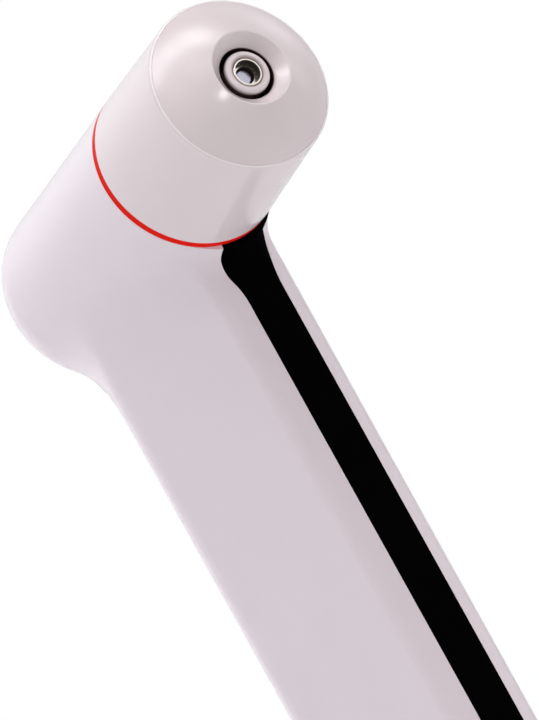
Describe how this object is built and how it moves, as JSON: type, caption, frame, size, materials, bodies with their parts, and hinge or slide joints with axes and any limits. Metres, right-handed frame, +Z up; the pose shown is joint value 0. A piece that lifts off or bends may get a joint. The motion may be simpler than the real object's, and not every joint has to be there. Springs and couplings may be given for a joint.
{
  "type": "prophy angle",
  "caption": "Reusable polishing angle: a long round head with a geared rotary spindle, on a wedge-shaped grip whose round end pushes onto a drive motor.",
  "frame": {"origin": "centre of the motor socket's mouth, at the bottom of the coupling sleeve", "axes": "+Z up the grip towards the head, -Y the way the nose faces, X across; the outside is mirror-symmetric about X = 0"},
  "size_m": [0.0204, 0.046, 0.0957],
  "materials": {
    "shell_white": "moulded white with a faint lilac cast, polished",
    "accent_red": "satin red",
    "inlay_black": "deep matt black",
    "button_white": "satin white",
    "insert_chrome": "bright turned metal",
    "shaft_steel": "ground",
    "washer_steel": "polished",
    "spring_steel": "drawn",
    "bush_bronze": "sintered bronze",
    "gear_brass": "machined brass",
    "nut_brass": "machined brass",
    "tube_aluminium": "drawn",
    "sleeve_aluminium": "satin anodised",
    "seal_rubber": "moulded"
  },
  "bodies": {
    "housing": {"body_shell": "shell_white", "nose_collar": "shell_white", "accent_ring": "accent_red", "grip_inlay": "inlay_black", "rear_bush": "bush_bronze", "thrust_washer": "washer_steel", "front_bush": "bush_bronze", "nose_seal": "seal_rubber", "shaft_tube": "tube_aluminium", "upper_bush": "bush_bronze", "lower_bush": "bush_bronze", "bush_spacer": "tube_aluminium", "bush_circlip": "spring_steel", "pinion_washer": "washer_steel", "coupling_sleeve": "sleeve_aluminium", "sleeve_seal": "seal_rubber", "tube_nut": "nut_brass"},
    "spindle": {"spindle_shaft": "shaft_steel", "spindle_gear": "gear_brass", "gear_pin": "shaft_steel", "spindle_clip": "spring_steel", "cup_button": "button_white", "socket_insert": "insert_chrome"},
    "drive_line": {"drive_shaft": "shaft_steel", "pinion": "shaft_steel", "dog_spring": "spring_steel"},
    "dog": {"drive_dog": "shaft_steel", "dog_pin": "shaft_steel"}
  },
  "joints": [
    {"name": "drive_shaft_spin", "type": "hinge", "parent": "housing", "child": "drive_line", "pos_m": [0, 0, 0.05], "axis": [0, 0, 1], "continuous": true},
    {"name": "spindle_spin", "type": "hinge", "parent": "housing", "child": "spindle", "pos_m": [0, -0.0094, 0.084], "axis": [0, -0.9659, 0.2588], "continuous": true},
    {"name": "dog_slide", "type": "slide", "parent": "drive_line", "child": "dog", "axis": [0, 0, 1], "range_m": [0, 0.0015], "stiffness_N_per_m": 600, "springref_m": -0.001, "deforming": ["dog_spring"]}
  ],
  "couplings": [
    {"joint": "spindle_spin", "follows": "drive_shaft_spin", "ratio": -0.66667}
  ]
}
